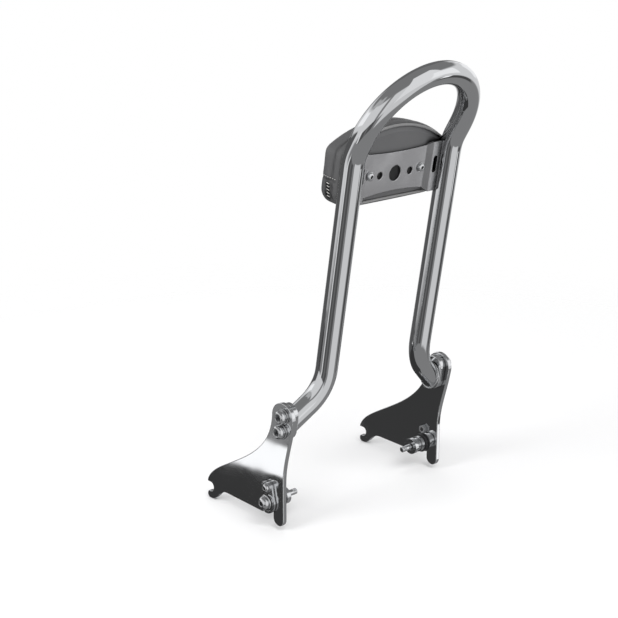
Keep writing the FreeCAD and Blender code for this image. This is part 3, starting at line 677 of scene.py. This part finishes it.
def pipingLine():
    # the pad's outline moved in: bottom line, corner arcs, sides and the crown's arc, sampled evenly by length
    inset, radius = piping["inset"], piping["crownRadius"]
    half, low, crown = pad["halfWidth"] - inset, pad["bottom"] + inset, pad["crown"] - inset
    lower, upper = pad["bottomCorner"] - inset, pad["topCorner"] - inset
    centre = crown - radius
    cornerRise = centre + math.sqrt((radius - upper) ** 2 - (half - upper) ** 2)
    tilt = math.atan2(cornerRise - centre, half - upper)
    lowTurn = np.linspace(-math.pi / 2, 0, piping["cornerCount"])
    highTurn = np.linspace(0, tilt, piping["cornerCount"])
    crownTurn = np.linspace(tilt, math.pi / 2, piping["crownCount"])[1:]
    x = np.concatenate([
        half - lower + lower * np.cos(lowTurn),
        half - upper + upper * np.cos(highTurn),
        radius * np.cos(crownTurn),
    ])
    rise = np.concatenate([
        low + lower + lower * np.sin(lowTurn),
        cornerRise + upper * np.sin(highTurn),
        centre + radius * np.sin(crownTurn),
    ])
    x, rise = np.append(x, -x[-2::-1]), np.append(rise, rise[-2::-1])
    closedX, closedRise = np.append(x, x[0]), np.append(rise, rise[0])
    length = lengthAlong(np.stack([closedX, closedRise], 1))
    even = np.linspace(0, length[-1], piping["count"], endpoint=False)
    return np.interp(even, length, closedX), np.interp(even, length, closedRise)


def pipingCord():
    # a round cord along the edge of the back panel, half sunk between the panel and the cover
    x, rise = pipingLine()
    path = leanPoints(x, panelFront - piping["sunk"], rise)
    cord = cordMesh("pad_piping", path, piping["radius"], True, forwardAxis, piping["around"])
    dress(cord, "piping_vinyl")


pipingCord()

stitch = {"length": 0.0024, "gap": 0.0014, "radius": 0.00038, "proud": 0.3, "rings": 7, "around": 6}


def stitchShape():
    # a short bead: radius(t) = r * sqrt(1 - t^4) on a line of the stitch's length, t from -1 to 1
    rings, around = stitch["rings"], stitch["around"]
    along = np.linspace(-1, 1, rings)
    angle = np.linspace(0, 2 * np.pi, around, endpoint=False)
    radius = stitch["radius"] * np.sqrt(np.clip(1 - along**4, 0.02, 1))
    x = np.repeat(along * stitch["length"] / 2, around)
    y = (radius[:, None] * np.cos(angle)).ravel()
    z = (radius[:, None] * np.sin(angle)).ravel()
    faces = ringFaces(rings, around)
    faces.append(list(range(around))[::-1])
    faces.append([(rings - 1) * around + k for k in range(around)])
    return np.stack([x, y, z], 1), faces


def stitchRow(name, path, normals):
    # every stitch = turn(k) * bead + place(k), with the bead's X along the path and its Z along the normal
    length = lengthAlong(path)
    pitch = stitch["length"] + stitch["gap"]
    at = np.arange(pitch / 2, length[-1], pitch)

    def sample(values, shift=0.0):
        return np.stack([np.interp(at + shift, length, values[:, k]) for k in range(3)], 1)

    near = stitch["length"] / 6
    tangent = unit(sample(path, near) - sample(path, -near))
    side = unit(np.cross(sample(normals), tangent))
    up = np.cross(tangent, side)
    turns = np.stack([tangent, side, up], axis=-1)
    places = sample(path) + up * stitch["radius"] * stitch["proud"]
    points, faces = stitchShape()
    copies = np.einsum("kij,pj->kpi", turns, points) + places[:, None]
    shift = np.arange(len(places)) * len(points)
    allFaces = []
    for face in faces:
        allFaces += (np.array(face)[None, :] + shift[:, None]).tolist()
    row = meshObject(name, copies.reshape(-1, 3), allFaces)
    pointOutward(row.data)
    dress(row, "thread")


# the stitched line over the side seam: it starts ahead of the panel and turns round two corners
sideLine = {
    "offset": 0.0024,
    "start": 0.005,
    "corner": 0.028,
    "sideCount": 30,
    "cornerCount": 20,
    "frontCount": 90,
}


def sideStitching():
    # a U-shaped path seen from above, at a constant rise: left side, front, right side
    half = pad["halfWidth"] + casting["margin"]
    front = pad["back"] + pad["depth"] + casting["margin"]
    corner, count = sideLine["corner"], sideLine["sideCount"]
    turn = np.linspace(0, math.pi / 2, sideLine["cornerCount"])[1:]
    flank = np.linspace(panelFront + sideLine["start"], front - corner, count)
    frontX = np.linspace(-half + corner, half - corner, sideLine["frontCount"])[1:]
    x = np.concatenate([
        np.full(count, -half),
        -half + corner - corner * np.cos(turn),
        frontX,
        half - corner + corner * np.sin(turn),
        np.full(count - 1, half),
    ])
    forward = np.concatenate([
        flank,
        front - corner + corner * np.sin(turn),
        np.full(len(frontX), front),
        front - corner + corner * np.cos(turn),
        flank[-2::-1],
    ])
    inwardX = np.clip(np.abs(x) - (half - corner), 0, None) * np.sign(x)
    inwardForward = np.clip(forward - (front - corner), 0, None)
    inwardX[:count], inwardForward[:count] = -1.0, 0.0
    inwardX[-count:], inwardForward[-count:] = 1.0, 0.0
    outside = leanPoints(x, forward, seams["sideRise"] + sideLine["offset"])
    inward = -unit(inwardX[:, None] * [1.0, 0.0, 0.0] + inwardForward[:, None] * forwardAxis)
    path, normals = onCover(outside, inward)
    stitchRow("side_stitching", path, normals)


sideStitching()

tacks = {
    "low": 0.2440,
    "pitch": 0.0042,
    "count": 5,
    "length": 0.0044,
    "slant": 0.0006,
    "radius": 0.0005,
    "bow": 0.0002,
    "points": 9,
    "around": 8,
}


def sideTack(name, side, rise):
    # a short cord over the gathered channel: its ends lie on the cover, and between them it runs
    # straight and bows out by bow * (1 - (2 t - 1)^2), t along the tack
    along = np.linspace(0, 1, tacks["points"])
    forward = pleats["channel"] + (along - 0.5) * tacks["length"]
    rise = rise + tacks["slant"] * (along - 0.5)
    outside = leanPoints(side * (pad["halfWidth"] + casting["margin"]), forward, rise)
    path = onCover(outside, np.tile([-float(side), 0.0, 0.0], (len(along), 1)))[0]
    out = side * path[:, 0]
    bridge = out[0] + (out[-1] - out[0]) * along + tacks["bow"] * (1 - (2 * along - 1) ** 2)
    path[:, 0] = side * np.maximum(bridge, out)
    cord = cordMesh(name, path, tacks["radius"], False, np.array([1.0, 0.0, 0.0]), tacks["around"])
    dress(cord, "thread")


for word, side in sides.items():
    for k in range(tacks["count"]):
        sideTack(f"tack_{word}_{k + 1}", side, tacks["low"] + k * tacks["pitch"])
print("piping and stitching done")

weld = {"radius": 0.0017, "ripple": 0.14, "pitch": 0.0019, "around": 8}


def weldBead(name, path, closed, reference):
    # a cord whose radius rises and falls once per pitch: r * (1 + ripple * cos(2 pi s / pitch))
    radius = weld["radius"] * (1 + weld["ripple"] * np.cos(2 * np.pi * lengthAlong(path) / weld["pitch"]))
    dress(cordMesh(name, path, radius, closed, reference, weld["around"]), "chrome")


# the ear's inner face and the point that the leg's centre line runs to
earWeld = {"faceX": 0.1315, "foot": (0.1415, -0.0170, 0.0990), "sunk": 0.0004, "count": 240}


def weldEar(word, side):
    # where the leg's tube meets the ear's inner face: an ellipse, the tube's circle cut aslant
    corner = np.array([hoop["uprightX"], leaning["cornerY"], leaning["cornerZ"]])
    axis = unit(np.array(earWeld["foot"]) - corner)
    middle = corner + axis * (earWeld["faceX"] - corner[0]) / axis[0]
    first = unit(np.cross(axis, [1.0, 0.0, 0.0]))
    second = np.cross(axis, first)
    angle = np.linspace(0, 2 * np.pi, earWeld["count"], endpoint=False)[:, None]
    ring = middle + hoop["tubeRadius"] * (np.cos(angle) * first + np.sin(angle) * second)
    ring += axis * ((earWeld["faceX"] - earWeld["sunk"] - ring[:, :1]) / axis[0])
    ring[:, 0] *= side
    weldBead(f"ear_weld_{word}", ring, True, np.array([side, 0.0, 0.0]))


bracketWeld = {"low": 0.2405, "high": 0.3010, "forward": 0.0064, "proud": 0.0003, "count": 160}


def weldBracket(word, side):
    # along the bracket's coped end, down the inner side of the upright: x^2 + forward^2 = radius^2
    rise = np.linspace(bracketWeld["low"], bracketWeld["high"], bracketWeld["count"])
    radius, forward = hoop["tubeRadius"] + bracketWeld["proud"], bracketWeld["forward"]
    x = hoop["uprightX"] - math.sqrt(radius**2 - forward**2)
    weldBead(f"bracket_weld_{word}", leanPoints(side * x, forward, rise), False, forwardAxis)


for word, side in sides.items():
    weldEar(word, side)
    weldBracket(word, side)
print("welds done")

floorLook = {
    "drop": 0.0006,  # under the lowest point
    "half": 60.0,
    "color": (0.86, 0.86, 0.86),
    "roughness": 0.9,
    "specular": 0.1,
    "fade": (0.45, 1.25),  # distance over which the white background takes over
}


def buildFloor(lowest):
    half, level = floorLook["half"], lowest - floorLook["drop"]
    mesh = bpy.data.meshes.new("floor")
    corners = [(-half, -half, level), (half, -half, level), (half, half, level), (-half, half, level)]
    mesh.from_pydata(corners, [], [(0, 1, 2, 3)])
    finish = Finish("pale floor")
    finish.setShader({
        "Base Color": (*floorLook["color"], 1),
        "Roughness": floorLook["roughness"],
        "Specular IOR Level": floorLook["specular"],
    })
    # clear for mirrored rays, and fading out away from the object
    path = finish.node("ShaderNodeLightPath")
    far = finish.node("ShaderNodeVectorMath", operation="LENGTH")
    finish.link(finish.coords, far.inputs[0])
    fade = finish.between(far.outputs["Value"], 0.0, 1.0, *floorLook["fade"])
    mix = finish.node("ShaderNodeMixShader")
    finish.link(finish.math("MAXIMUM", path.outputs["Is Glossy Ray"], fade), mix.inputs["Fac"])
    finish.link(finish.shader.outputs["BSDF"], mix.inputs[1])
    finish.link(finish.node("ShaderNodeBsdfTransparent").outputs["BSDF"], mix.inputs[2])
    finish.link(mix.outputs["Shader"], finish.tree.nodes["Material Output"].inputs["Surface"])
    mesh.materials.append(finish.material)
    linked("floor", mesh)


# the camera's place, its heading from Y towards X and its pitch downwards
view = {
    "place": (-1.1883, -1.1825, 0.7240),
    "heading": math.radians(43.23),
    "pitch": math.radians(16.59),
    "focalPixels": 1350.0,
    "framePixels": 618.0,
    "sensor": 36.0,
    "clipEnd": 200.0,
}

# the room's light on dull surfaces: bright walls under a darker ceiling; angles in degrees
room = {"wall": 0.94, "ceiling": 0.52, "middle": 30.0, "soft": 50.0}

# what polished metal mirrors: walls between a grey floor and a grey ceiling, and cards in front of them
surround = {"floor": 0.24, "wall": 0.72, "ceiling": 0.21, "floorTop": -17.0, "wallTop": 32.0, "soft": 8.0}

# azimuth from the camera's side, half width, elevation, half height and soft edge in degrees, then the tone
# and, where a card hangs aslant, its slope
cards = {
    "left dark floor": (-130, 56, -58, 33, 6, 0.04),
    "bright floor": (49, 34, -20, 18, 4, 0.68),
    "left low screen": (-128, 38, -12, 16, 4, 0.10),
    "left strip": (-154, 6, -14, 7, 3, 0.24),
    "front low screen": (-24, 23, -23, 9, 3, 0.09),
    "front grey strip": (-26, 5, -23, 8, 3, 0.16),
    "front strip light": (-53, 3.5, -18, 9, 2, 0.85),
    "right low screen": (106, 13, -24, 6, 4, 0.07),
    "slim screen": (-6, 6, 11, 27, 3, 0.24),
    "window": (56, 28, 25, 37, 3, 0.84),
    "left lamp": (-100, 20, 19, 8, 3, 1.05),
    "right lamp": (88, 18, 12, 15, 3, 1.0),
    "rear lamp": (155, 18, 10, 11, 3, 0.98),
    "rear screen": (-170, 24, 31, 23, 5, 0.15),
    "grey ceiling panel": (-66, 27, 39, 6, 3, 0.46),
    "plate screen": (-90, 9, -24, 6.5, 1.2, 0.045),
    "tab panel": (-95.5, 6, -20.6, 1.7, 0.4, 0.24),
    "rear edge light": (94.5, 3.5, -20.5, 3.6, 1.0, 1.1),
    "low strip light": (-93.3, 3.6, -22.88, 0.67, 0.12, 1.25, -0.31),  # the bright band in the left plate
}


def buildWorld():
    world = bpy.data.worlds.new("studio")
    bpy.context.scene.world = world
    world.use_nodes = True
    nodes, links = world.node_tree.nodes, world.node_tree.links
    nodes.clear()

    def put(node, values):
        for socket, value in values:
            if isinstance(value, bpy.types.NodeSocket):
                links.new(value, node.inputs[socket])
            elif value is not None:
                node.inputs[socket].default_value = value
        return node

    def number(operation, first, second=None):
        node = nodes.new("ShaderNodeMath")
        node.operation = operation
        return put(node, ((0, first), (1, second))).outputs[0]

    def vector(operation, first, second=None):
        node = nodes.new("ShaderNodeVectorMath")
        node.operation = operation
        return put(node, ((0, first), (1, second))).outputs["Value" if operation == "DOT_PRODUCT" else "Vector"]

    def blend(factor, first, second):
        node = nodes.new("ShaderNodeMix")
        node.data_type = "RGBA"
        return put(node, ((0, factor), (6, first), (7, second))).outputs[2]

    def within(distance, half, soft):
        # 1 inside the half size in degrees, 0 outside it, with a smooth edge as wide as soft
        node = nodes.new("ShaderNodeMapRange")
        node.interpolation_type = "SMOOTHSTEP"
        start, end = math.radians(half - soft / 2), math.radians(half + soft / 2)
        put(node, (("Value", distance), ("From Min", start), ("From Max", end), ("To Min", 1.0), ("To Max", 0.0)))
        return node.outputs["Result"]

    def gray(level):
        return (level, level, level * 1.01, 1)

    direction = nodes.new("ShaderNodeTexCoord").outputs["Generated"]
    flat = vector("NORMALIZE", vector("MULTIPLY", direction, (1.0, 1.0, 0.0)))
    height = put(nodes.new("ShaderNodeSeparateXYZ"), (("Vector", direction),)).outputs["Z"]
    elevation = number("ARCSINE", height)
    below = within(elevation, surround["floorTop"], surround["soft"])
    under = within(elevation, surround["wallTop"], surround["soft"])
    mirrored = blend(below, gray(surround["wall"]), gray(surround["floor"]))
    mirrored = blend(under, gray(surround["ceiling"]), mirrored)
    cameraSide = math.atan2(view["place"][1], view["place"][0])
    for azimuth, halfWidth, middle, halfHeight, soft, tone, *slope in cards.values():
        turn = cameraSide + math.radians(azimuth)
        aside = number("ARCCOSINE", vector("DOT_PRODUCT", flat, (math.cos(turn), math.sin(turn), 0.0)))
        level = elevation
        if slope:
            along = number("ARCSINE", vector("DOT_PRODUCT", flat, (-math.sin(turn), math.cos(turn), 0.0)))
            level = number("SUBTRACT", elevation, number("MULTIPLY", along, slope[0]))
        apart = number("ABSOLUTE", number("SUBTRACT", level, math.radians(middle)))
        card = number("MULTIPLY", within(aside, halfWidth, soft), within(apart, halfHeight, soft))
        mirrored = blend(card, mirrored, gray(tone))
    dull = blend(within(elevation, room["middle"], room["soft"]), gray(room["ceiling"]), gray(room["wall"]))
    path = nodes.new("ShaderNodeLightPath")
    plain = blend(path.outputs["Is Camera Ray"], dull, (1.0, 1.0, 1.0, 1))
    shown = blend(path.outputs["Is Glossy Ray"], plain, mirrored)
    background = put(nodes.new("ShaderNodeBackground"), (("Color", shown),))
    put(nodes.new("ShaderNodeOutputWorld"), (("Surface", background.outputs["Background"]),))


# no lamp shows in the metal, which mirrors the surround alone; a sun's size is its angle
lamps = {
    "key": {
        "kind": "SUN",
        "place": (-0.4, -1.2, 2.2),
        "target": (0, 0, 0.3),
        "energy": 1.4,
        "size": math.radians(35),
    },
    "left softbox": {
        "kind": "AREA",
        "place": (-1.9, 0.2, 1.5),
        "target": (0, 0, 0.3),
        "energy": 18.0,
        "size": (0.9, 1.4),
    },
    "top softbox": {
        "kind": "AREA",
        "place": (0.3, 0.4, 2.0),
        "target": (0, -0.1, 0.4),
        "energy": 4.0,
        "size": (0.8, 0.8),
    },
}


def addLamp(name, settings):
    lamp = bpy.data.lights.new(name, settings["kind"])
    lamp.energy = settings["energy"]
    if settings["kind"] == "SUN":
        lamp.angle = settings["size"]
    else:
        lamp.shape = "RECTANGLE"
        lamp.size, lamp.size_y = settings["size"]
    holder = linked(name, lamp)
    holder.location = settings["place"]
    aim = Vector(settings["target"]) - Vector(settings["place"])
    holder.rotation_euler = aim.to_track_quat("-Z", "Y").to_euler()
    holder.visible_glossy = False


def buildCamera():
    # the camera's axes from its heading and pitch: right, down and ahead
    sinH, cosH = math.sin(view["heading"]), math.cos(view["heading"])
    sinP, cosP = math.sin(view["pitch"]), math.cos(view["pitch"])
    right = Vector((cosH, -sinH, 0))
    down = Vector((-sinH * sinP, -cosH * sinP, -cosP))
    ahead = Vector((sinH * cosP, cosH * cosP, -sinP))
    camera = linked("camera", bpy.data.cameras.new("camera"))
    turn = Matrix((right, -down, -ahead)).transposed().to_4x4()
    camera.matrix_world = Matrix.Translation(view["place"]) @ turn
    camera.data.sensor_width = view["sensor"]
    camera.data.lens = view["focalPixels"] / view["framePixels"] * view["sensor"]
    camera.data.clip_end = view["clipEnd"]
    bpy.context.scene.camera = camera


buildFloor(startBounds[0].z)
buildWorld()
for name, settings in lamps.items():
    addLamp(name, settings)
buildCamera()
bpy.context.scene.view_settings.view_transform = "Standard"
print("studio done")
